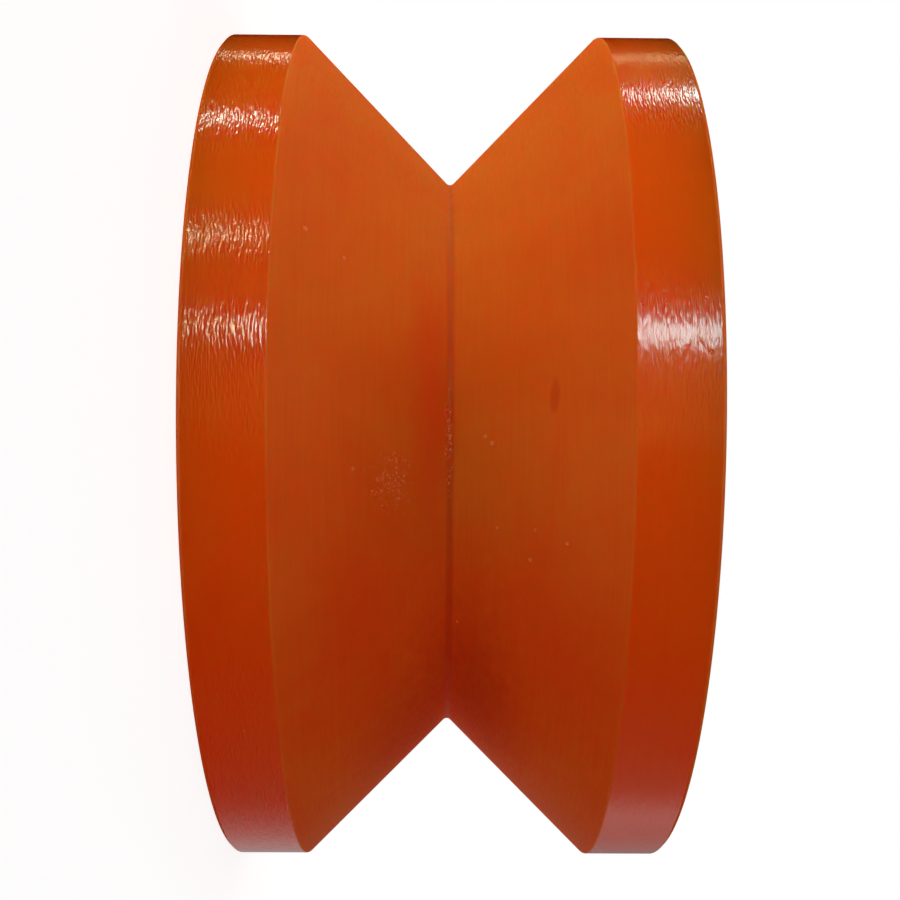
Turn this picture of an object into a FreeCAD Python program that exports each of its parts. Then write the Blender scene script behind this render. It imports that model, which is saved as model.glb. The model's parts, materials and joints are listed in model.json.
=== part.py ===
import FreeCAD, Part
import math
import os

import Sketcher
from FreeCAD import Vector

# Grooved mooring roller: one solid piece of polyurethane, cast round a core and then turned.
# Millimetres. +Z runs along the roller's axis, and the origin is the middle of its bore.
# It stands on its lower end face.

document = FreeCAD.newDocument("GroovedRoller")


# Driving dimensions

DRIVING_DIMENSIONS = [
    ("OuterDiameter", 100.0, "over the two lands beside the groove"),
    ("FaceWidth", 50.0, "from end face to end face"),
    ("RootDiameter", 67.0, "at the bottom of the rounded groove root"),
    ("GrooveAngle", 90.0, "between the two flanks, in degrees"),
    ("RootRadius", 0.6, "nose of the tool that cut the groove"),
    ("LipRadius", 0.3, "rounding where a flank meets its land"),
    ("RimChamfer", 0.4, "edge break where a land meets its end face"),
    ("PinDiameter", 20.0, "pin that the roller turns on"),
    ("PinClearance", 0.1, "running gap all round that pin"),
    ("BoreChamfer", 1.0, "lead-in at both ends of the bore"),
]

sizes = document.addObject("Spreadsheet::Sheet", "Sizes")
for row, (alias, value, meaning) in enumerate(DRIVING_DIMENSIONS, start=1):
    sizes.set(f"A{row}", alias)
    sizes.set(f"B{row}", str(value))
    sizes.set(f"C{row}", meaning)
    sizes.setAlias(f"B{row}", alias)
document.recompute()


# Radii and heights that the sections share: each as a formula on the sheet, and as its value now

def from_sheet(formula):
    return sizes.evalExpression(formula)


OUTER_RADIUS = "Sizes.OuterDiameter / 2"
BORE_RADIUS = "Sizes.PinDiameter / 2 + Sizes.PinClearance"
ROOT_CENTRE_RADIUS = "Sizes.RootDiameter / 2 + Sizes.RootRadius"
# The groove's section runs on past the lands, so that it cuts right through them.
GROOVE_MOUTH_RADIUS = "Sizes.OuterDiameter / 2 + Sizes.LipRadius"

outer_radius = float(from_sheet(OUTER_RADIUS))
bore_radius = float(from_sheet(BORE_RADIUS))
root_centre_radius = float(from_sheet(ROOT_CENTRE_RADIUS))
groove_mouth_radius = float(from_sheet(GROOVE_MOUTH_RADIUS))
half_width = sizes.FaceWidth / 2
flank_slope = math.radians(sizes.GrooveAngle / 2)
# The two flanks, drawn on through the rounded root, would meet this far from the axis.
flank_apex_radius = root_centre_radius - sizes.RootRadius / math.sin(flank_slope)


def flank_height(radius):
    return (radius - flank_apex_radius) * math.tan(flank_slope)


# Half sections of the roller: across is the radius, up is its axis

ORIGIN = (-1, 1)
ACROSS_AXIS = -1
START, END, CENTRE = 1, 2, 3


def half_section(body, name):
    plane = next(item for item in body.Origin.OriginFeatures if item.Role == "XZ_Plane")
    sketch = body.newObject("Sketcher::SketchObject", name)
    sketch.AttachmentSupport = [(plane, "")]
    sketch.MapMode = "FlatFace"
    return sketch


def draw_closed_lines(sketch, corners):
    lines = []
    for here, there in zip(corners, corners[1:] + corners[:1]):
        lines.append(sketch.addGeometry(Part.LineSegment(here, there), False))
    for line, following in zip(lines, lines[1:] + lines[:1]):
        sketch.addConstraint(Sketcher.Constraint("Coincident", line, END, following, START))
    return lines


def add_dimension(sketch, name, formula, kind, *where_and_value):
    index = sketch.addConstraint(Sketcher.Constraint(kind, *where_and_value))
    sketch.renameConstraint(index, name)
    sketch.setExpression(f"Constraints.{name}", formula)


def turned_about_axis(body, kind, name, section):
    feature = body.newObject(kind, name)
    feature.Profile = section
    feature.ReferenceAxis = (section, ["V_Axis"])
    feature.Angle = 360
    section.Visibility = False
    document.recompute()
    return feature


# The casting: a plain ring as wide as the roller, with its bore left by the core

def blank_section(body):
    section = half_section(body, "BlankSection")
    lower_end, land, upper_end, bore_wall = draw_closed_lines(section, [
        Vector(bore_radius, -half_width, 0),
        Vector(outer_radius, -half_width, 0),
        Vector(outer_radius, half_width, 0),
        Vector(bore_radius, half_width, 0),
    ])
    section.addConstraint(Sketcher.Constraint("Horizontal", lower_end))
    section.addConstraint(Sketcher.Constraint("Horizontal", upper_end))
    section.addConstraint(Sketcher.Constraint("Vertical", land))
    section.addConstraint(Sketcher.Constraint("Symmetric", bore_wall, START, bore_wall, END, ACROSS_AXIS))
    add_dimension(section, "BoreRadius", BORE_RADIUS, "DistanceX", *ORIGIN, bore_wall, END, bore_radius)
    add_dimension(section, "OuterRadius", OUTER_RADIUS, "DistanceX", *ORIGIN, land, START, outer_radius)
    add_dimension(section, "FaceWidth", "Sizes.FaceWidth", "DistanceY", land, START, land, END, 2 * half_width)
    return section


# The V groove: two straight flanks that run into a small round root, turned out of the casting

def groove_section(body):
    section = half_section(body, "GrooveSection")
    root_centre = Vector(root_centre_radius, 0, 0)
    to_tangent = Vector(-math.sin(flank_slope), math.cos(flank_slope), 0) * sizes.RootRadius
    upper_tangent = root_centre + to_tangent
    lower_tangent = Vector(upper_tangent.x, -upper_tangent.y, 0)
    upper_mouth = Vector(groove_mouth_radius, flank_height(groove_mouth_radius), 0)
    lower_mouth = Vector(groove_mouth_radius, -upper_mouth.y, 0)
    root_bottom = root_centre - Vector(sizes.RootRadius, 0, 0)

    root = section.addGeometry(Part.Arc(upper_tangent, root_bottom, lower_tangent), False)
    lower_flank = section.addGeometry(Part.LineSegment(lower_tangent, lower_mouth), False)
    mouth = section.addGeometry(Part.LineSegment(lower_mouth, upper_mouth), False)
    upper_flank = section.addGeometry(Part.LineSegment(upper_mouth, upper_tangent), False)

    section.addConstraint(Sketcher.Constraint("Coincident", lower_flank, END, mouth, START))
    section.addConstraint(Sketcher.Constraint("Coincident", mouth, END, upper_flank, START))
    section.addConstraint(Sketcher.Constraint("Tangent", root, START, upper_flank, END))
    section.addConstraint(Sketcher.Constraint("Tangent", root, END, lower_flank, START))
    section.addConstraint(Sketcher.Constraint("PointOnObject", root, CENTRE, ACROSS_AXIS))
    section.addConstraint(Sketcher.Constraint("Symmetric", mouth, START, mouth, END, ACROSS_AXIS))
    add_dimension(section, "RootRadius", "Sizes.RootRadius", "Radius", root, sizes.RootRadius)
    add_dimension(section, "RootCentre", ROOT_CENTRE_RADIUS, "DistanceX",
                  *ORIGIN, root, CENTRE, root_centre_radius)
    add_dimension(section, "MouthRadius", GROOVE_MOUTH_RADIUS, "DistanceX",
                  *ORIGIN, mouth, START, groove_mouth_radius)
    add_dimension(section, "GrooveAngle", "Sizes.GrooveAngle * 1 deg", "Angle",
                  lower_flank, START, upper_flank, END, 2 * flank_slope)
    return section


# Edge breaks: every sharp ring is found by its radius and its height on the axis

RING_TOLERANCE = 1e-4


def rings_at(shape, radius, height):
    names = []
    for number, edge in enumerate(shape.Edges, start=1):
        if not isinstance(edge.Curve, Part.Circle):
            continue
        at_radius = abs(edge.Curve.Radius - radius) < RING_TOLERANCE
        at_height = abs(abs(edge.Curve.Center.z) - height) < RING_TOLERANCE
        if at_radius and at_height:
            names.append(f"Edge{number}")
    return names


def broken_edges(body, kind, name, radius, height, property_name, formula):
    base = body.Tip
    feature = body.newObject(kind, name)
    feature.Base = (base, rings_at(base.Shape, radius, height))
    feature.setExpression(property_name, formula)
    base.Visibility = False
    document.recompute()
    return feature


roller = document.addObject("PartDesign::Body", "Roller")
roller.Label = "roller"

casting = turned_about_axis(roller, "PartDesign::Revolution", "Casting", blank_section(roller))
groove = turned_about_axis(roller, "PartDesign::Groove", "VGroove", groove_section(roller))
lips = broken_edges(roller, "PartDesign::Fillet", "LipBreaks",
                    outer_radius, flank_height(outer_radius), "Radius", "Sizes.LipRadius")
rims = broken_edges(roller, "PartDesign::Chamfer", "RimBreaks",
                    outer_radius, half_width, "Size", "Sizes.RimChamfer")
lead_ins = broken_edges(roller, "PartDesign::Chamfer", "BoreLeadIns",
                        bore_radius, half_width, "Size", "Sizes.BoreChamfer")


# Every feature has to hold, and each cut has to take material away

for item in document.Objects:
    if "Invalid" in item.State or "Error" in item.State:
        raise RuntimeError(f"{item.Name} failed: {item.State}")

steps = [casting, groove, lips, rims, lead_ins]
for before, after in zip(steps, steps[1:]):
    if not after.Shape.Volume < before.Shape.Volume:
        raise RuntimeError(f"{after.Name} removed nothing")

if roller.Shape.isNull() or not roller.Shape.isValid():
    raise RuntimeError("the roller's solid is not sound")

os.makedirs("parts", exist_ok=True)
roller.Shape.exportStep(f"parts/{roller.Label}.step")
print(f"{roller.Label}: {len(roller.Shape.Solids)} solid, {roller.Shape.Volume:.1f} cubic mm")
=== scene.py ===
import json
import math

import bpy
from mathutils import Matrix, Vector


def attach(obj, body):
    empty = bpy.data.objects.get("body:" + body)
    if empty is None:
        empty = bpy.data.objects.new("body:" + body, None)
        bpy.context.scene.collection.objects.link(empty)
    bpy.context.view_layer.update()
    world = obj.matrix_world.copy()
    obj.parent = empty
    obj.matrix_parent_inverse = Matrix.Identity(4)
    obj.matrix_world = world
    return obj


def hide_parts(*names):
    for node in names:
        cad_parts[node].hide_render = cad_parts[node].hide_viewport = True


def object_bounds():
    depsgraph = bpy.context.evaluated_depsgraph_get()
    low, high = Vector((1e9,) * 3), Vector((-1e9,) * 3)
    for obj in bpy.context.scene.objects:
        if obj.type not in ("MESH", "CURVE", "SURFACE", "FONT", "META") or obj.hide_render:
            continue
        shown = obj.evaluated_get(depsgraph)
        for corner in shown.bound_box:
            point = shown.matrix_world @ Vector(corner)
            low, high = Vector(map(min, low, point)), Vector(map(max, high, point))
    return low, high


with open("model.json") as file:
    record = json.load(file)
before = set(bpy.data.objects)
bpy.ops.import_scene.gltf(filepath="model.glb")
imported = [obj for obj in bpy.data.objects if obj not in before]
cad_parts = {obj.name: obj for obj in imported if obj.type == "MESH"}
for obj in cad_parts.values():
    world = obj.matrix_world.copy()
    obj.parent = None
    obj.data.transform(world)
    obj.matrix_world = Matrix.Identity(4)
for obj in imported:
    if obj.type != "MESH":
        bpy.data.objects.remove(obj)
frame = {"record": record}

# A grooved mooring roller of cast polyurethane, standing on its lower end face.
# Metres. +Z runs along the roller's axis, and the origin is the middle of its bore.

cad_low, cad_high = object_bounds()
scene = bpy.context.scene
MILLIMETRE = 0.001


# Roller, its form
# The real piece is one block of orange polyurethane, poured hot round a core and baked until it sets.
# It is then turned in a lathe: the V groove first, then the lands and end faces, and each edge is broken.
# The bore is left as the core made it, with a short lead-in at each end, and turns directly on its pin.

mounts = {mount["name"]: mount for mount in frame["record"]["mounts"]}
outer_radius = cad_high.x
half_width = cad_high.z
bore_radius = mounts["pin_bore"]["dims"]["r_mm"] * MILLIMETRE
groove_root_radius = mounts["groove"]["pos_m"][0]
bore_lead_in = half_width - mounts["pin_bore"]["dims"]["length_mm"] * MILLIMETRE / 2

flank_slope = math.radians(45)
root_nose = 0.6 * MILLIMETRE
lip_round = 0.3 * MILLIMETRE
rim_break = 0.4 * MILLIMETRE
worn_corner = 0.12 * MILLIMETRE
row_spacing = 1.6 * MILLIMETRE
facets_round_axis = 400
merge_distance = 1e-7

# Where the two flanks would meet if the root weren't rounded, and half the groove's width at the lands.
flank_apex_radius = groove_root_radius + root_nose - root_nose / math.sin(flank_slope)
groove_half_mouth = (outer_radius - flank_apex_radius) * math.tan(flank_slope)


class Tree:
    """A node tree under construction: adds nodes by kind and joins them by socket."""

    def __init__(self, tree):
        self.tree = tree

    def add(self, kind, inputs=None, **settings):
        node = self.tree.nodes.new(kind)
        for name, value in settings.items():
            setattr(node, name, value)
        for name, value in (inputs or {}).items():
            self.feed(node.inputs[name], value)
        return node

    def feed(self, socket, value):
        if isinstance(value, bpy.types.NodeSocket):
            self.tree.links.new(value, socket)
        else:
            socket.default_value = value

    def math(self, operation, first, second=0.0, third=0.0):
        node = self.add("ShaderNodeMath", {0: first, 1: second, 2: third}, operation=operation)
        return node.outputs[0]

    def vector_math(self, operation, first, second=None, scale=None):
        node = self.add("ShaderNodeVectorMath", {0: first}, operation=operation)
        if second is not None:
            self.feed(node.inputs[1], second)
        if scale is not None:
            self.feed(node.inputs["Scale"], scale)
        return node.outputs["Value"] if operation in ("LENGTH", "DOT_PRODUCT") else node.outputs["Vector"]

    def compare(self, operation, first, second, data_type="FLOAT"):
        node = self.add("FunctionNodeCompare", data_type=data_type, operation=operation)
        pair = [socket for socket in node.inputs if socket.enabled and socket.name in ("A", "B")]
        self.feed(pair[0], first)
        self.feed(pair[1], second)
        return node.outputs["Result"]

    def choose_by_index(self, data_type, index, values):
        node = self.tree.nodes.new("GeometryNodeIndexSwitch")
        node.data_type = data_type
        while len(node.index_switch_items) < len(values):
            node.index_switch_items.new()
        self.feed(node.inputs["Index"], index)
        for place, value in enumerate(values, start=1):
            self.feed(node.inputs[place], value)
        return node.outputs["Output"]

    def group(self, group, inputs):
        node = self.tree.nodes.new("ShaderNodeGroup")
        node.node_tree = group
        for name, value in inputs.items():
            self.feed(node.inputs[name], value)
        return node.outputs

    def value_at(self, data_type, value, index):
        node = self.add("GeometryNodeFieldAtIndex", {"Index": index}, data_type=data_type, domain="POINT")
        self.feed(node.inputs["Value"], value)
        return node.outputs["Value"]


def new_geometry_tree(name, sockets):
    """An empty geometry tree with its inputs, each a name, a kind and a value."""
    group = bpy.data.node_groups.new(name, "GeometryNodeTree")
    for socket_name, kind, value in sockets:
        socket = group.interface.new_socket(socket_name, in_out="INPUT", socket_type=kind)
        socket.default_value = value
    group.interface.new_socket("Geometry", in_out="OUTPUT", socket_type="NodeSocketGeometry")
    return Tree(group)


def turned_roller_tree(upper_land, lower_land, flank, broken_rim, end_face, bore_wall):
    """The roller's half section as a closed line with rounded corners, swept once round the axis."""
    length = "NodeSocketFloat"
    tree = new_geometry_tree("Turned roller", [
        ("Outer radius", length, outer_radius),
        ("Half width", length, half_width),
        ("Bore radius", length, bore_radius),
        ("Flank apex radius", length, flank_apex_radius),
        ("Groove half mouth", length, groove_half_mouth),
        ("Root nose", length, root_nose),
        ("Lip round", length, lip_round),
        ("Rim break", length, rim_break),
        ("Bore lead-in", length, bore_lead_in),
        ("Worn corner", length, worn_corner),
        ("Row spacing", length, row_spacing),
        ("Facets", "NodeSocketInt", facets_round_axis),
    ])
    given = tree.add("NodeGroupInput").outputs
    outer, half, bore = given["Outer radius"], given["Half width"], given["Bore radius"]
    rim, lead_in, worn = given["Rim break"], given["Bore lead-in"], given["Worn corner"]

    # Corners of the section as radius and height, from the groove's root over the upper half to the bore.
    upper = [
        (given["Flank apex radius"], 0.0, given["Root nose"]),
        (outer, given["Groove half mouth"], given["Lip round"]),
        (outer, tree.math("SUBTRACT", half, rim), worn),
        (tree.math("SUBTRACT", outer, rim), half, worn),
        (tree.math("ADD", bore, lead_in), half, worn),
        (bore, tree.math("SUBTRACT", half, lead_in), worn),
    ]
    lower = []
    for radius, height, turn in reversed(upper[1:]):
        lower.append((radius, tree.math("MULTIPLY", height, -1.0), turn))
    corners = upper + lower
    places = []
    for radius, height, turn in corners:
        across = tree.math("SUBTRACT", radius, outer)
        places.append(tree.add("ShaderNodeCombineXYZ", {"X": across, "Y": height}).outputs[0])
    turns = [turn for radius, height, turn in corners]

    index = tree.add("GeometryNodeInputIndex").outputs[0]
    position = tree.add("GeometryNodeInputPosition").outputs[0]
    row = tree.add("GeometryNodeMeshLine", {"Count": len(corners)}).outputs[0]
    line = tree.add("GeometryNodeMeshToCurve", {"Mesh": row}).outputs[0]
    ring = tree.add("GeometryNodeSetSplineCyclic", {"Geometry": line, "Cyclic": True}).outputs[0]
    section = tree.add("GeometryNodeSetPosition", {
        "Geometry": ring,
        "Position": tree.choose_by_index("VECTOR", index, places),
    }).outputs[0]

    # Two more points beside each pair of corners stay just outside the rounding, so that flats stay flat.
    per_corner = 3.0
    section = tree.add("GeometryNodeSubdivideCurve", {
        "Curve": section, "Cuts": int(per_corner) - 1,
    }).outputs[0]
    step = tree.math("MODULO", index, per_corner)
    own_corner = tree.math("SUBTRACT", index, step)
    beyond = tree.math("ADD", own_corner, per_corner)
    next_corner = tree.math("MODULO", beyond, per_corner * len(corners))
    own_number = tree.math("DIVIDE", own_corner, per_corner)
    next_number = tree.math("DIVIDE", next_corner, per_corner)
    margin_per_round = 1.1
    least_margin = 0.04 * MILLIMETRE

    def margin(number):
        turn_there = tree.choose_by_index("FLOAT", number, turns)
        return tree.math("MULTIPLY_ADD", turn_there, margin_per_round, least_margin)

    here = tree.value_at("FLOAT_VECTOR", position, own_corner)
    there = tree.value_at("FLOAT_VECTOR", position, next_corner)
    direction = tree.vector_math("NORMALIZE", tree.vector_math("SUBTRACT", there, here))
    first_margin = tree.vector_math("SCALE", direction, scale=margin(own_number))
    last_margin = tree.vector_math("SCALE", direction, scale=margin(next_number))
    after_corner = tree.vector_math("ADD", here, first_margin)
    before_corner = tree.vector_math("SUBTRACT", there, last_margin)
    section = tree.add("GeometryNodeSetPosition", {
        "Geometry": section,
        "Position": tree.choose_by_index("VECTOR", step, [here, after_corner, before_corner]),
    }).outputs[0]
    is_corner = tree.compare("LESS_THAN", step, 0.5)
    turn_here = tree.add("GeometryNodeSwitch", {
        "Switch": is_corner,
        "False": 0.0,
        "True": tree.choose_by_index("FLOAT", own_number, turns),
    }, input_type="FLOAT").outputs[0]
    section = tree.add("GeometryNodeStoreNamedAttribute", {
        "Geometry": section,
        "Name": "turn",
        "Value": turn_here,
    }, data_type="FLOAT", domain="POINT").outputs[0]

    # Long flats get evenly spaced rows between their end points.
    size = tree.add("GeometryNodeAttributeDomainSize", {"Geometry": section}, component="CURVE")
    following = tree.math("MODULO", tree.math("ADD", index, 1.0), size.outputs["Point Count"])
    following_place = tree.value_at("FLOAT_VECTOR", position, following)
    span = tree.vector_math("LENGTH", tree.vector_math("SUBTRACT", following_place, position))
    rows = tree.math("FLOOR", tree.math("DIVIDE", span, given["Row spacing"]))
    section = tree.add("GeometryNodeSubdivideCurve", {"Curve": section, "Cuts": rows}).outputs[0]

    # The corners are rounded, and the section is swept round the axis.
    stored = tree.add("GeometryNodeInputNamedAttribute", {"Name": "turn"}, data_type="FLOAT")
    turn = stored.outputs["Attribute"]
    points_on_flat, points_on_arc = 1, 6
    arc_points = tree.add("GeometryNodeSwitch", {
        "Switch": tree.compare("GREATER_THAN", turn, 0.0),
        "False": points_on_flat,
        "True": points_on_arc,
    }, input_type="INT").outputs[0]
    section = tree.add("GeometryNodeFilletCurve", {
        "Curve": section,
        "Count": arc_points,
        "Radius": turn,
        "Limit Radius": True,
    }, mode="POLY").outputs[0]
    path = tree.add("GeometryNodeCurvePrimitiveCircle", {
        "Resolution": given["Facets"],
        "Radius": outer,
    }, mode="RADIUS").outputs["Curve"]
    mesh = tree.add("GeometryNodeCurveToMesh", {"Curve": path, "Profile Curve": section}).outputs[0]
    mesh = tree.add("GeometryNodeMergeByDistance", {"Geometry": mesh, "Distance": merge_distance}).outputs[0]
    mesh = tree.add("GeometryNodeSetShadeSmooth", {"Geometry": mesh, "Shade Smooth": True}).outputs[0]

    # Each turned surface takes its own finish, by how far a facet lies from the axis and from mid-width.
    split = tree.add("ShaderNodeSeparateXYZ", {"Vector": position}).outputs
    across_squared = tree.math("POWER", split["X"], 2.0)
    deep_squared = tree.math("POWER", split["Y"], 2.0)
    from_axis = tree.math("SQRT", tree.math("ADD", across_squared, deep_squared))
    from_middle = tree.math("ABSOLUTE", split["Z"])
    rim_start, rim_stop, lip_stop = -0.9, -0.2, 0.3
    rim_from = tree.math("MULTIPLY_ADD", rim, rim_start, half)
    end_from = tree.math("MULTIPLY_ADD", rim, rim_stop, half)
    lip_edge = tree.math("MULTIPLY_ADD", given["Lip round"], lip_stop, given["Groove half mouth"])
    on_bore = tree.compare("LESS_THAN", from_axis, tree.math("ADD", bore, lead_in))
    on_rim = tree.compare("GREATER_THAN", from_middle, rim_from)
    on_end = tree.compare("GREATER_THAN", from_middle, end_from)
    on_upper_land = tree.compare("GREATER_THAN", split["Z"], lip_edge)
    on_lower_land = tree.compare("LESS_THAN", split["Z"], tree.math("MULTIPLY", lip_edge, -1.0))
    mesh = tree.add("GeometryNodeSetMaterial", {"Geometry": mesh, "Material": flank}).outputs[0]
    for selection, finish in (
        (on_upper_land, upper_land), (on_lower_land, lower_land),
        (on_rim, broken_rim), (on_end, end_face), (on_bore, bore_wall),
    ):
        mesh = tree.add("GeometryNodeSetMaterial", {
            "Geometry": mesh, "Selection": selection, "Material": finish,
        }).outputs[0]
    mesh = tree.add("GeometryNodeRealizeInstances", {"Geometry": mesh}).outputs[0]
    tree.add("NodeGroupOutput", {"Geometry": mesh})
    return tree.tree


# Roller, its finish
# Cast polyurethane is a cloudy orange that carries light: red wanders far inside, the rest stays shallow.
# The lathe leaves fine rings on it. On the lands they are polished down, and on the flanks they stay matt.
# The flanks also carry painted shade, and the torn spots and pits carry painted glints.

def new_shader_group(name, inputs, outputs):
    """An empty shader group with its inputs, each a name, a kind and a value, and its outputs."""
    group = bpy.data.node_groups.new(name, "ShaderNodeTree")
    for socket_name, kind, value in inputs:
        socket = group.interface.new_socket(socket_name, in_out="INPUT", socket_type=kind)
        if value is not None:
            socket.default_value = value
    for socket_name, kind in outputs:
        group.interface.new_socket(socket_name, in_out="OUTPUT", socket_type=kind)
    return Tree(group)


def place_on_roller_group():
    """A place as the lathe sees it: the direction round the axis, and the distance along the section."""
    tree = new_shader_group("Place on roller", [("Place", "NodeSocketVector", None)], [
        ("Round", "NodeSocketVector"),
        ("Along section", "NodeSocketFloat"),
        ("Millimetres", "NodeSocketVector"),
        ("From axis", "NodeSocketFloat"),
        ("From middle", "NodeSocketFloat"),
    ])
    place = tree.add("NodeGroupInput").outputs["Place"]
    millimetres = tree.vector_math("SCALE", place, scale=1.0 / MILLIMETRE)
    flat = tree.vector_math("MULTIPLY", millimetres, (1.0, 1.0, 0.0))
    from_axis = tree.vector_math("LENGTH", flat)
    height = tree.add("ShaderNodeSeparateXYZ", {"Vector": millimetres}).outputs["Z"]
    from_middle = tree.math("ABSOLUTE", height)
    side_offset = 211.0
    side = tree.math("MULTIPLY", tree.math("SIGN", height), side_offset)
    along = tree.math("ADD", tree.math("ADD", from_axis, from_middle), side)
    tree.add("NodeGroupOutput", {
        "Round": tree.vector_math("NORMALIZE", flat),
        "Along section": along,
        "Millimetres": millimetres,
        "From axis": from_axis,
        "From middle": from_middle,
    })
    return tree.tree


def turning_marks_group(place_on_roller):
    """Noise drawn out round the axis, as a lathe tool leaves it. Pitch and length are in millimetres."""
    tree = new_shader_group("Turning marks", [
        ("Place", "NodeSocketVector", None),
        ("Pitch", "NodeSocketFloat", 0.4),
        ("Length", "NodeSocketFloat", 6.0),
        ("Detail", "NodeSocketFloat", 2.0),
        ("Seed", "NodeSocketFloat", 0.0),
    ], [("Height", "NodeSocketFloat")])
    given = tree.add("NodeGroupInput").outputs
    where = tree.group(place_on_roller, {"Place": given["Place"]})
    turns_round = tree.math("DIVIDE", outer_radius / MILLIMETRE, given["Length"])
    round_axis = tree.vector_math("SCALE", where["Round"], scale=turns_round)
    along = tree.math("DIVIDE", where["Along section"], given["Pitch"])
    shifted = tree.math("ADD", along, given["Seed"])
    lift = tree.add("ShaderNodeCombineXYZ", {"Z": shifted}).outputs[0]
    noise = tree.add("ShaderNodeTexNoise", {
        "Vector": tree.vector_math("ADD", round_axis, lift),
        "Scale": 1.0,
        "Detail": given["Detail"],
        "Roughness": 0.6,
    })
    tree.add("NodeGroupOutput", {"Height": noise.outputs[0]})
    return tree.tree


def cast_cloud_group(place_on_roller):
    """The faint clouds and flow lines of a poured block, from 0 to 1."""
    tree = new_shader_group("Cast cloud", [
        ("Place", "NodeSocketVector", None),
        ("Size", "NodeSocketFloat", 14.0),
    ], [("Cloud", "NodeSocketFloat")])
    given = tree.add("NodeGroupInput").outputs
    where = tree.group(place_on_roller, {"Place": given["Place"]})
    scaled = tree.vector_math("SCALE", where["Millimetres"], scale=tree.math("DIVIDE", 1.0, given["Size"]))
    noise = tree.add("ShaderNodeTexNoise", {
        "Vector": scaled,
        "Scale": 1.0,
        "Detail": 4.0,
        "Roughness": 0.55,
        "Distortion": 0.6,
    })
    spread = tree.add("ShaderNodeMapRange", {"Value": noise.outputs[0], "From Min": 0.3, "From Max": 0.7})
    tree.add("NodeGroupOutput", {"Cloud": spread.outputs[0]})
    return tree.tree


def pinhole_group(place_on_roller):
    """Small round pinholes where air bubbles were cut open, from 0, sound, to 1, the middle of a hole."""
    tree = new_shader_group("Pinholes", [
        ("Place", "NodeSocketVector", None),
        ("Spacing", "NodeSocketFloat", 6.0),
        ("Radius", "NodeSocketFloat", 0.2),
    ], [("Hole", "NodeSocketFloat")])
    given = tree.add("NodeGroupInput").outputs
    where = tree.group(place_on_roller, {"Place": given["Place"]})
    cells_per_millimetre = tree.math("DIVIDE", 1.0, given["Spacing"])
    cells = tree.add("ShaderNodeTexVoronoi", {
        "Vector": tree.vector_math("SCALE", where["Millimetres"], scale=cells_per_millimetre),
        "Scale": 1.0,
        "Randomness": 1.0,
    }, feature="F1")
    distance = tree.math("MULTIPLY", cells.outputs["Distance"], given["Spacing"])
    hole = tree.add("ShaderNodeMapRange", {
        "Value": distance,
        "From Min": given["Radius"],
        "From Max": tree.math("MULTIPLY", given["Radius"], 0.4),
    }, interpolation_type="SMOOTHSTEP")
    tree.add("NodeGroupOutput", {"Hole": hole.outputs[0]})
    return tree.tree


def mark_at_place_group(place_on_roller):
    """One spot, from 0 beyond its reach to 1 in its middle, in millimetres. Grain makes its edge ragged."""
    tree = new_shader_group("Mark at a place", [
        ("Place", "NodeSocketVector", None),
        ("Centre", "NodeSocketVector", (0.0, 0.0, 0.0)),
        ("Reach", "NodeSocketVector", (1.0, 1.0, 1.0)),
        ("Grain", "NodeSocketFloat", 0.5),
        ("Raggedness", "NodeSocketFloat", 0.3),
        ("Core", "NodeSocketFloat", 0.55),
    ], [("Strength", "NodeSocketFloat")])
    given = tree.add("NodeGroupInput").outputs
    where = tree.group(place_on_roller, {"Place": given["Place"]})["Millimetres"]
    offset = tree.vector_math("DIVIDE", tree.vector_math("SUBTRACT", where, given["Centre"]), given["Reach"])
    ragged = tree.math("MULTIPLY", tree.math("SUBTRACT", given["Grain"], 0.5), given["Raggedness"])
    distance = tree.math("ADD", tree.vector_math("LENGTH", offset), ragged)
    strength = tree.add("ShaderNodeMapRange", {
        "Value": distance, "From Min": 1.0, "From Max": given["Core"],
    }, interpolation_type="SMOOTHSTEP")
    tree.add("NodeGroupOutput", {"Strength": strength.outputs[0]})
    return tree.tree


def torn_surface_group(place_on_roller):
    """The small scales and pits left where the tool tore the rubber instead of cutting it."""
    tree = new_shader_group("Torn surface", [
        ("Place", "NodeSocketVector", None),
        ("Scale size", "NodeSocketFloat", 0.4),
    ], [("Height", "NodeSocketFloat")])
    given = tree.add("NodeGroupInput").outputs
    where = tree.group(place_on_roller, {"Place": given["Place"]})["Millimetres"]
    scaled = tree.vector_math("SCALE", where, scale=tree.math("DIVIDE", 1.0, given["Scale size"]))
    noise = tree.add("ShaderNodeTexNoise", {"Vector": scaled, "Scale": 1.0, "Detail": 2.0, "Roughness": 0.5})
    sharp = tree.add("ShaderNodeMapRange", {"Value": noise.outputs[0], "From Min": 0.48, "From Max": 0.66})
    tree.add("NodeGroupOutput", {"Height": sharp.outputs[0]})
    return tree.tree


place_on_roller = place_on_roller_group()
turning_marks = turning_marks_group(place_on_roller)
cast_cloud = cast_cloud_group(place_on_roller)
pinholes = pinhole_group(place_on_roller)
mark_at_place = mark_at_place_group(place_on_roller)
torn_surface = torn_surface_group(place_on_roller)

deep_orange = ((0.97, 0.074, 0.002, 1.0), (0.97, 0.091, 0.003, 1.0))
pale_orange = ((0.63, 0.09, 0.004, 1.0), (0.64, 0.131, 0.008, 1.0))
faced_orange = ((0.80, 0.13, 0.007, 1.0), (0.82, 0.16, 0.011, 1.0))
broken_edge_orange = ((0.82, 0.13, 0.009, 1.0), (0.84, 0.15, 0.013, 1.0))
smudged_orange = (0.5, 0.06, 0.003, 1.0)
# Painted shade: the next three colours are laid over the flanks and the groove's root, redder or darker
# where less light falls, and browner and duller over the flanks' well-lit tops.
painted_shade_red = (0.67, 0.035, 0.001, 1.0)
painted_shade_dark = (0.32, 0.026, 0.001, 1.0)
painted_shade_brown = (0.48, 0.12, 0.009, 1.0)
# A paler orange for stress-whitening in torn rubber, which also serves as painted glints on torn spots,
# pinholes and pits.
whitened_and_glint_orange = (0.95, 0.32, 0.14, 1.0)
red_light_path = 200 * MILLIMETRE
light_path_by_colour = (1.0, 0.01, 0.005)


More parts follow.
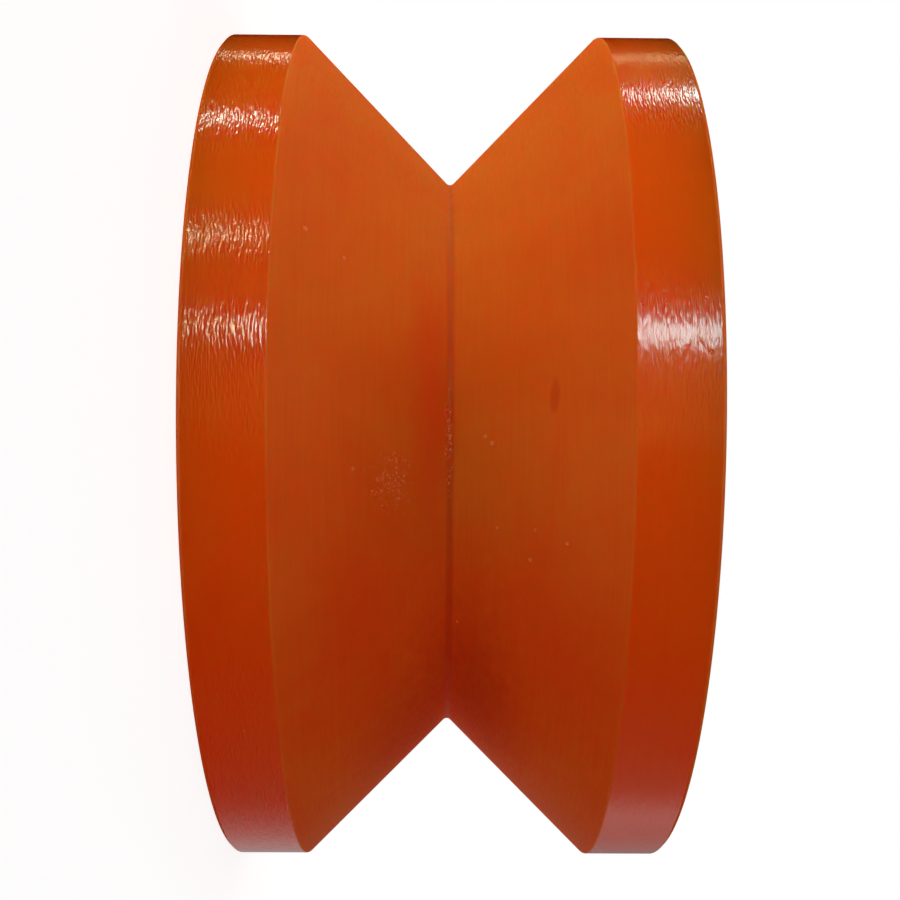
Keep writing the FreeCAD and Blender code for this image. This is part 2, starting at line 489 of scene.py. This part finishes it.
def mixed_colour(tree, share, first, second):
    mix = tree.add("ShaderNodeMix", data_type="RGBA")
    tree.feed(mix.inputs[0], share)
    tree.feed(mix.inputs[6], first)
    tree.feed(mix.inputs[7], second)
    return mix.outputs[2]


def polyurethane(name, colours, roughness, haze, specular, marks,
                 smudges_and_shade=(), torn=(), pits=(), painted_root_shade=0.0):
    """One turned surface of the block, with sizes in millimetres.

    Marks are pitch, length, depth and detail. Smudge and shade entries are centre, reach, colour,
    strength and core, each a real smudge or a patch of painted shade. Torn spots are centre, reach and
    size of scale, and pits are centre and radius. Torn spots are paled as stress-whitening and painted
    glints, and pits and pinholes as painted glints. Painted root shade darkens the groove's root.
    Haze is how far the roughness wanders to either side.
    """
    material = bpy.data.materials.new(name)
    material.use_nodes = True
    tree = Tree(material.node_tree)
    material.node_tree.nodes.clear()
    place = tree.add("ShaderNodeTexCoord").outputs["Object"]
    where = tree.group(place_on_roller, {"Place": place})
    grain = tree.add("ShaderNodeTexNoise", {
        "Vector": where["Millimetres"], "Scale": 0.8, "Detail": 3.0,
    }).outputs[0]

    height = 0.0
    seed = 3.0
    layers = []
    for pitch, length, depth, detail in marks:
        layer = tree.group(turning_marks, {
            "Place": place, "Pitch": pitch, "Length": length, "Detail": detail, "Seed": seed,
        })["Height"]
        height = tree.math("MULTIPLY_ADD", layer, depth, height)
        layers.append(layer)
        seed += 14.0

    cloud = tree.group(cast_cloud, {"Place": place, "Size": 16.0})["Cloud"]
    streaked = tree.add("ShaderNodeMapRange", {
        "Value": layers[0], "From Min": 0.3, "From Max": 0.7, "To Min": -0.25, "To Max": 0.25,
    }).outputs[0]
    colour = mixed_colour(tree, tree.math("ADD", cloud, streaked), colours[0], colours[1])
    # Each real smudge or patch of painted shade lays its colour over the surface.
    for centre, reach, smudge_and_shade_colour, strength, core in smudges_and_shade:
        spot = tree.group(mark_at_place, {
            "Place": place, "Centre": centre, "Reach": reach,
            "Grain": grain, "Raggedness": 0.4, "Core": core,
        })
        colour = mixed_colour(tree, tree.math("MULTIPLY", spot["Strength"], strength), colour, smudge_and_shade_colour)

    # Painted shade: the groove's root is darkened, where little light reaches into the crease.
    if painted_root_shade:
        in_root = tree.add("ShaderNodeMapRange", {
            "Value": where["From middle"], "From Min": 0.55, "From Max": 0.1,
        }, interpolation_type="SMOOTHSTEP").outputs[0]
        colour = mixed_colour(tree, tree.math("MULTIPLY", in_root, painted_root_shade), colour, painted_shade_dark)

    rough = tree.add("ShaderNodeMapRange", {
        "Value": layers[-1],
        "From Min": 0.3,
        "From Max": 0.7,
        "To Min": roughness - haze,
        "To Max": roughness + haze,
    }).outputs[0]
    # Torn spots are paled, partly as stress-whitening of the rubber and partly as painted glints.
    torn_depth, torn_shine, torn_paleness_and_glint = 0.1, 0.3, 0.8
    whitened_and_glint = 0.0
    for centre, reach, scale_size in torn:
        spot = tree.group(mark_at_place, {
            "Place": place, "Centre": centre, "Reach": reach, "Grain": grain, "Raggedness": 3.0,
        })["Strength"]
        scales = tree.group(torn_surface, {"Place": place, "Scale size": scale_size})["Height"]
        height = tree.math("MULTIPLY_ADD", tree.math("MULTIPLY", spot, scales), -torn_depth, height)
        rough = tree.math("MULTIPLY_ADD", spot, -torn_shine, rough)
        flecks = tree.math("POWER", scales, 3.0)
        whitened_and_glint = tree.math("MULTIPLY_ADD", tree.math("MULTIPLY", spot, flecks), torn_paleness_and_glint, whitened_and_glint)

    # Pinholes and pits are paled as painted glints.
    bubble_depth, bubble_shine, bubble_glint_paleness = 0.15, 0.15, 0.4
    holes = tree.group(pinholes, {"Place": place, "Spacing": 9.0, "Radius": 0.2})["Hole"]
    for centre, reach in pits:
        pit = tree.group(mark_at_place, {
            "Place": place, "Centre": centre, "Reach": (reach, reach, reach), "Grain": grain,
        })["Strength"]
        holes = tree.math("MAXIMUM", holes, pit)
    height = tree.math("MULTIPLY_ADD", holes, -bubble_depth, height)
    pale_and_glint_share = tree.math("MAXIMUM", whitened_and_glint, tree.math("MULTIPLY", holes, bubble_glint_paleness))
    colour = mixed_colour(tree, pale_and_glint_share, colour, whitened_and_glint_orange)
    bump = tree.add("ShaderNodeBump", {"Height": height, "Strength": 1.0, "Distance": MILLIMETRE})

    shader = tree.add("ShaderNodeBsdfPrincipled", {
        "Base Color": colour,
        "Roughness": tree.math("MULTIPLY_ADD", holes, -bubble_shine, rough),
        "Specular IOR Level": specular,
        "Subsurface Weight": 1.0,
        "Subsurface Radius": light_path_by_colour,
        "Subsurface Scale": red_light_path,
        "Normal": bump.outputs[0],
    }, subsurface_method="RANDOM_WALK")
    tree.add("ShaderNodeOutputMaterial", {"Surface": shader.outputs[0]})
    return material


upper_land_finish = polyurethane("Polyurethane land, polished", deep_orange, 0.14, 0.04, 0.5, [
    (0.9, 26.0, 0.0016, 2.5),
    (0.18, 0.9, 0.034, 0.3),
], pits=[
    ((-15.2, -47.6, 19.4), 0.25), ((-14.0, -48.0, 17.3), 0.2), ((-13.9, -48.0, 19.6), 0.2),
    ((-14.6, -47.8, 23.2), 0.2), ((-9.6, -49.1, 23.5), 0.25),
])
lower_land_finish = polyurethane("Polyurethane land, as turned", deep_orange, 0.105, 0.03, 0.5, [
    (0.9, 20.0, 0.002, 2.5),
    (0.2, 0.95, 0.05, 0.3),
])
flank_finish = polyurethane("Polyurethane flank, matt turned", pale_orange, 0.6, 0.08, 0.22, [
    (0.5, 12.0, 0.004, 2.5),
    (0.22, 2.0, 0.006, 1.0),
], smudges_and_shade=[
    ((-5.95, -42.76, 9.92), (2.2, 0.9, 0.6), smudged_orange, 0.8, 0.55),
    # Painted shade from here on: a redder patch beside the root and on the lower flanks, darker ones low in
    # the groove by the root, and a browner tone over the flanks' well-lit tops.
    ((-5.0, -34.0, -2.0), (24.0, 9.0, 3.4), painted_shade_red, 0.6, 0.0),
    ((28.0, -26.0, 2.5), (24.0, 24.0, 8.5), painted_shade_dark, 0.7, 0.0),
    ((31.0, -21.0, -5.0), (20.0, 22.0, 9.0), painted_shade_dark, 0.45, 0.0),
    ((-35.0, -20.0, 3.0), (24.0, 26.0, 22.0), painted_shade_brown, 0.5, 0.0),
    ((16.0, -38.0, -9.0), (22.0, 15.0, 11.0), painted_shade_red, 0.45, 0.0),
    ((16.0, -38.0, 10.5), (20.0, 15.0, 9.5), painted_shade_red, 0.5, 0.0),
], torn=[
    ((2.4, -39.1, -5.9), (2.8, 2.6, 2.6), 0.25),
    ((-0.6, -33.6, -0.1), (7.5, 1.2, 0.45), 0.3),
], pits=[
    ((-21.5, -42.0, -14.0), 0.35), ((-19.2, -39.3, -10.5), 0.25), ((-2.1, -36.7, 3.5), 0.25),
    ((-1.4, -37.4, 4.15), 0.3), ((7.1, -37.3, 4.7), 0.25), ((7.1, -40.9, 8.3), 0.25),
    ((8.2, -43.7, 11.2), 0.25), ((10.1, -39.9, 7.9), 0.3), ((1.2, -42.7, -9.4), 0.25),
    ((17.7, -29.2, 0.9), 0.25),
# Painted shade along the groove's root.
], painted_root_shade=0.45)
rim_finish = polyurethane("Polyurethane rim, edge broken", broken_edge_orange, 0.5, 0.08, 0.3, [
    (0.4, 8.0, 0.004, 2.5),
    (0.2, 2.0, 0.004, 1.0),
])
end_finish = polyurethane("Polyurethane end face, faced", faced_orange, 0.42, 0.08, 0.3, [
    (0.4, 30.0, 0.006, 2.5),
    (0.16, 4.0, 0.003, 2.5),
])
bore_finish = polyurethane("Polyurethane bore, as cast", deep_orange, 0.35, 0.06, 0.4, [
    (2.0, 14.0, 0.004, 2.5),
    (0.4, 3.0, 0.002, 2.5),
])


def grown_mesh(name, tree):
    """The plain mesh that a geometry tree makes, as an object of its own at the origin."""
    holder = bpy.data.objects.new(name + " tree", bpy.data.meshes.new(name + " tree"))
    scene.collection.objects.link(holder)
    modifier = holder.modifiers.new("Tree", "NODES")
    modifier.node_group = tree
    for socket in tree.interface.items_tree:
        if socket.in_out == "INPUT":
            modifier[socket.identifier] = socket.default_value
    shapes = bpy.context.evaluated_depsgraph_get()
    mesh = bpy.data.meshes.new_from_object(holder.evaluated_get(shapes))
    bpy.data.objects.remove(holder)
    mesh.name = name
    grown = bpy.data.objects.new(name, mesh)
    scene.collection.objects.link(grown)
    return grown


roller = grown_mesh("roller_turned", turned_roller_tree(
    upper_land_finish, lower_land_finish, flank_finish, rim_finish, end_finish, bore_finish))
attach(roller, "root")
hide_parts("roller")


# Camera
# It lies on its side, so that the roller's axis crosses the picture, and stands close to the groove.
# Along the picture, right is +Z, up is -X, and the view runs along +Y.

picture_size = 900
sensor_width = 36.0
focal_pixels = 1294.3
camera_distance = 3.3533 * outer_radius
camera_off_middle = -0.0231 * outer_radius
camera_turn = 0.0091
camera_dip = -0.0949
camera_roll = 0.0064
frame_shift = 0.1444

picture_right = Vector((0, 0, 1))
picture_up = Vector((-1, 0, 0))
picture_depth = Vector((0, 1, 0))

level_view = picture_right * math.sin(camera_turn) + picture_depth * math.cos(camera_turn)
view = level_view * math.cos(camera_dip) + picture_up * math.sin(camera_dip)
right = picture_right * math.cos(camera_turn) - picture_depth * math.sin(camera_turn)
up = right.cross(view)
rolled_right = right * math.cos(camera_roll) + up * math.sin(camera_roll)
rolled_up = up * math.cos(camera_roll) - right * math.sin(camera_roll)

camera_data = bpy.data.cameras.new("Camera")
camera_data.sensor_width = sensor_width
camera_data.lens = sensor_width * focal_pixels / picture_size
camera_data.shift_y = frame_shift
camera_data.clip_start = 0.01
camera_data.clip_end = 50.0
camera = bpy.data.objects.new("Camera", camera_data)
scene.collection.objects.link(camera)
axes = Matrix((rolled_right, rolled_up, -view)).transposed()
camera.matrix_world = Matrix.Translation(
    picture_right * camera_off_middle - picture_depth * camera_distance
) @ axes.to_4x4()
scene.camera = camera


# Stage: pale floor, white room and dark tent
# The roller stands on the floor. The room is white where the camera, a gloss or a clear piece sees it.
# The tent is dark cloth hung round the roller, as for shiny things, and only shows in the lands' gloss.

WHITE = (1.0, 1.0, 1.0, 1.0)


def seen_white(tree, rays, plain, white):
    """Picks the white look where the camera, a glossy or a transmitted ray meets a surface."""
    direct = tree.math("MAXIMUM", rays["Is Camera Ray"], rays["Is Glossy Ray"])
    shown = tree.math("MAXIMUM", direct, rays["Is Transmission Ray"])
    mix = tree.add("ShaderNodeMixShader", {0: shown})
    tree.feed(mix.inputs[1], plain)
    tree.feed(mix.inputs[2], white)
    return mix.outputs[0]


def room(strength_on_object):
    """The room's even light on the object, and its plain white for whoever looks at it."""
    world = bpy.data.worlds.new("Room")
    world.use_nodes = True
    world.node_tree.nodes.clear()
    tree = Tree(world.node_tree)
    rays = tree.add("ShaderNodeLightPath").outputs
    soft = tree.add("ShaderNodeBackground", {"Color": WHITE, "Strength": strength_on_object}).outputs[0]
    white = tree.add("ShaderNodeBackground", {"Color": WHITE, "Strength": 1.0}).outputs[0]
    tree.add("ShaderNodeOutputWorld", {"Surface": seen_white(tree, rays, soft, white)})
    return world


scene.world = room(0.28)


def floor_material():
    """Matt and pale to the light, and white to the eye, with the object's shadow on its nearer part."""
    material = bpy.data.materials.new("Pale floor")
    material.use_nodes = True
    tree = Tree(material.node_tree)
    material.node_tree.nodes.clear()
    rays = tree.add("ShaderNodeLightPath").outputs
    matt = tree.add("ShaderNodeBsdfDiffuse", {"Color": (0.8, 0.8, 0.8, 1)}).outputs[0]
    place = tree.add("ShaderNodeTexCoord").outputs["Object"]
    near_reach = 0.35
    shadow_kept = 0.5
    white_kept = 0.16
    near = tree.add("ShaderNodeMapRange", {
        "Value": tree.vector_math("LENGTH", place),
        "From Min": 2 * outer_radius,
        "From Max": near_reach,
        "To Min": 1.0,
        "To Max": 0.0,
    }, interpolation_type="SMOOTHSTEP").outputs[0]
    shadow_share = tree.math("MULTIPLY", near, shadow_kept)
    own_white = tree.math("MULTIPLY_ADD", near, -white_kept, 1.0)
    shadowed = tree.add("ShaderNodeBsdfDiffuse", {"Color": shadow_share}).outputs[0]
    glow = tree.add("ShaderNodeEmission", {"Color": WHITE, "Strength": own_white}).outputs[0]
    both = tree.add("ShaderNodeAddShader")
    tree.feed(both.inputs[0], shadowed)
    tree.feed(both.inputs[1], glow)
    tree.add("ShaderNodeOutputMaterial", {"Surface": seen_white(tree, rays, matt, both.outputs[0])})
    return material


floor_reach = 6.0
floor_mesh = bpy.data.meshes.new("Floor")
floor_mesh.from_pydata([
    (-floor_reach, -floor_reach, cad_low.z),
    (floor_reach, -floor_reach, cad_low.z),
    (floor_reach, floor_reach, cad_low.z),
    (-floor_reach, floor_reach, cad_low.z),
], [], [(0, 1, 2, 3)])
floor_mesh.materials.append(floor_material())
floor = bpy.data.objects.new("Floor", floor_mesh)
scene.collection.objects.link(floor)
floor.visible_glossy = False
floor.visible_shadow = False


def tent_cloth(half_length, glow_on_left, glow_on_right):
    """Black cloth with a dim glow for each land.

    A glow is a list of angles, in degrees from the camera's side over the top, each with its brightness.
    """
    material = bpy.data.materials.new("Tent cloth")
    material.use_nodes = True
    tree = Tree(material.node_tree)
    material.node_tree.nodes.clear()
    place = tree.add("ShaderNodeTexCoord").outputs["Object"]
    split = tree.add("ShaderNodeSeparateXYZ", {"Vector": place}).outputs
    height = tree.math("MULTIPLY", split["X"], -1.0)
    nearness = tree.math("MULTIPLY", split["Y"], -1.0)
    turn = tree.math("MULTIPLY_ADD", tree.math("ARCTAN2", height, nearness), 0.5 / math.pi, 0.5)
    brightest = 2.0
    glows = []
    for stops in (glow_on_left, glow_on_right):
        ramp = tree.add("ShaderNodeValToRGB", {"Fac": turn})
        elements = ramp.color_ramp.elements
        elements.remove(elements[1])
        for count, (angle, colour) in enumerate(stops):
            stop = elements.new((angle + 180.0) / 360.0) if count else elements[0]
            stop.position = (angle + 180.0) / 360.0
            stop.color = tuple(value / brightest for value in colour) + (1.0,)
        glows.append(ramp.outputs[0])
    to_right = tree.add("ShaderNodeMapRange", {
        "Value": split["Z"], "From Min": -0.05, "From Max": 0.05,
    }).outputs[0]
    both = mixed_colour(tree, to_right, glows[0], glows[1])
    across = tree.math("ABSOLUTE", split["Z"])
    edge = tree.add("ShaderNodeMapRange", {
        "Value": across, "From Min": 0.28, "From Max": 0.38, "To Min": brightest, "To Max": 0.0,
    }).outputs[0]
    at_end = tree.math("GREATER_THAN", across, 0.99 * half_length)
    end_glow = tree.add("ShaderNodeMapRange", {
        "Value": height, "From Min": -0.7, "From Max": 0.5, "To Min": 0.0, "To Max": 0.5,
    }).outputs[0]
    colour = mixed_colour(tree, at_end, both, WHITE)
    strength = tree.math("MULTIPLY_ADD", at_end, end_glow, edge)
    glow = tree.add("ShaderNodeEmission", {"Color": colour, "Strength": strength})
    tree.add("ShaderNodeOutputMaterial", {"Surface": glow.outputs[0]})
    material.cycles.emission_sampling = "NONE"
    return material


def tent(radius, half_length, facets, glow_on_left, glow_on_right):
    """A round tent with closed ends, whose axis is the roller's, and which only gloss sees."""
    points = []
    faces = []
    for step in range(facets):
        angle = 2 * math.pi * step / facets
        ridge = (picture_up * math.sin(angle) - picture_depth * math.cos(angle)) * radius
        points.append(tuple(ridge - picture_right * half_length))
        points.append(tuple(ridge + picture_right * half_length))
        following = (step + 1) % facets
        faces.append((2 * step, 2 * following, 2 * following + 1, 2 * step + 1))
    faces.append([2 * step for step in range(facets)])
    faces.append([2 * step + 1 for step in range(facets)])
    mesh = bpy.data.meshes.new("Tent")
    mesh.from_pydata(points, [], faces)
    mesh.materials.append(tent_cloth(half_length, glow_on_left, glow_on_right))
    cloth = bpy.data.objects.new("Tent", mesh)
    scene.collection.objects.link(cloth)
    cloth.visible_camera = False
    cloth.visible_diffuse = False
    cloth.visible_shadow = False
    cloth.visible_transmission = False


def grey(brightness):
    return (brightness, brightness, brightness)


tent(radius=1.1, half_length=2.0, facets=72, glow_on_left=[
    (-180, grey(0.34)),
    (-150, grey(0.36)),
    (-135, grey(0.45)),
    (-122, grey(0.36)),
    (-116, grey(0.28)),
    (-109, grey(0.17)),
    (-103, grey(0.11)),
    (-83, grey(0.055)),
    (-62, grey(0.03)),
    (-48, grey(0.0)),
    (8, grey(0.0)),
    (14, grey(0.03)),
    (64, grey(0.03)),
    (70, grey(0.0)),
], glow_on_right=[
    (-180, grey(0.2)),
    (-150, grey(0.24)),
    (-129, grey(0.33)),
    (-122, grey(0.40)),
    (-115, grey(0.60)),
    (-108, grey(0.60)),
    (-102, grey(0.28)),
    (-96, grey(0.19)),
    (-83, grey(0.11)),
    (-69, grey(0.07)),
    (-50, grey(0.0)),
    (1, grey(0.0)),
    (4, (0.40, 0.34, 0.08)),
    (17, (0.70, 0.60, 0.14)),
    (25, (0.70, 0.60, 0.14)),
    (30, grey(0.0)),
    (110, grey(0.0)),
    (113, (0.20, 0.19, 0.05)),
    (124, (0.12, 0.12, 0.03)),
    (130, grey(0.0)),
])


# Lights
# Soft boxes over and before the roller light its colour, and two behind it shine through it.
# Long narrow strips lie across the picture. Only gloss sees them, as the bright bands on the two lands.

def area_light(name, angle, across, distance, height, length, brightness, colour=(1.0, 1.0, 1.0)):
    """A flat light. Its angle rises from the camera's side over the top of the picture, in degrees."""
    toward = picture_up * math.sin(math.radians(angle)) - picture_depth * math.cos(math.radians(angle))
    place = toward * distance + picture_right * across
    data = bpy.data.lights.new(name, "AREA")
    data.shape = "RECTANGLE"
    data.size = length
    data.size_y = height
    data.energy = brightness * math.pi * length * height
    data.color = colour
    light = bpy.data.objects.new(name, data)
    scene.collection.objects.link(light)
    back = place.normalized()
    side = (picture_right - back * picture_right.dot(back)).normalized()
    axes = Matrix((side, back.cross(side), back)).transposed()
    light.matrix_world = Matrix.Translation(place) @ axes.to_4x4()
    light.visible_camera = False
    return light


def soft_box(name, angle, across, brightness):
    box = area_light(name, angle, across, distance=1.2, height=0.6, length=0.2, brightness=brightness)
    box.visible_glossy = False


def gloss_strip(name, angle, across, height, length, brightness, colour):
    strip = area_light(name, angle, across, 0.8, height, length, brightness, colour)
    strip.visible_diffuse = False


soft_box("Overhead box", 84.0, -0.25, 9.7)
soft_box("Upper front box", 60.0, -0.08, 19.8)
soft_box("Low front box", 10.0, 0.0, 4.0)
soft_box("Rear box, left", 180.0, -0.4, 17.5)
soft_box("Rear box, right", 180.0, 0.4, 12.0)
gloss_strip("Front strip, right", 30.8, 0.16, 0.07, 0.32, 17.5, (0.6, 1.0, 0.97))
gloss_strip("Front strip, left", 31.5, -0.0875, 0.02, 0.135, 32.0, (0.78, 1.0, 0.62))
gloss_strip("Upper front strip, left", 56.0, -0.235, 0.02, 0.2, 32.0, (0.75, 1.0, 0.62))
gloss_strip("Overhead strip, left", 93.5, -0.2, 0.02, 0.19, 31.0, (0.82, 1.0, 0.78))
gloss_strip("Overhead strip, right", 105.5, 0.235, 0.05, 0.2, 14.5, (0.8, 1.0, 0.92))
gloss_strip("Rear strip, left", 124.5, -0.075, 0.025, 0.12, 7.5, (1.0, 1.0, 0.65))
gloss_strip("Rear strip, right", 126.5, 0.2, 0.06, 0.3, 1.2, (1.0, 1.0, 0.5))


scene.view_settings.view_transform = "Standard"
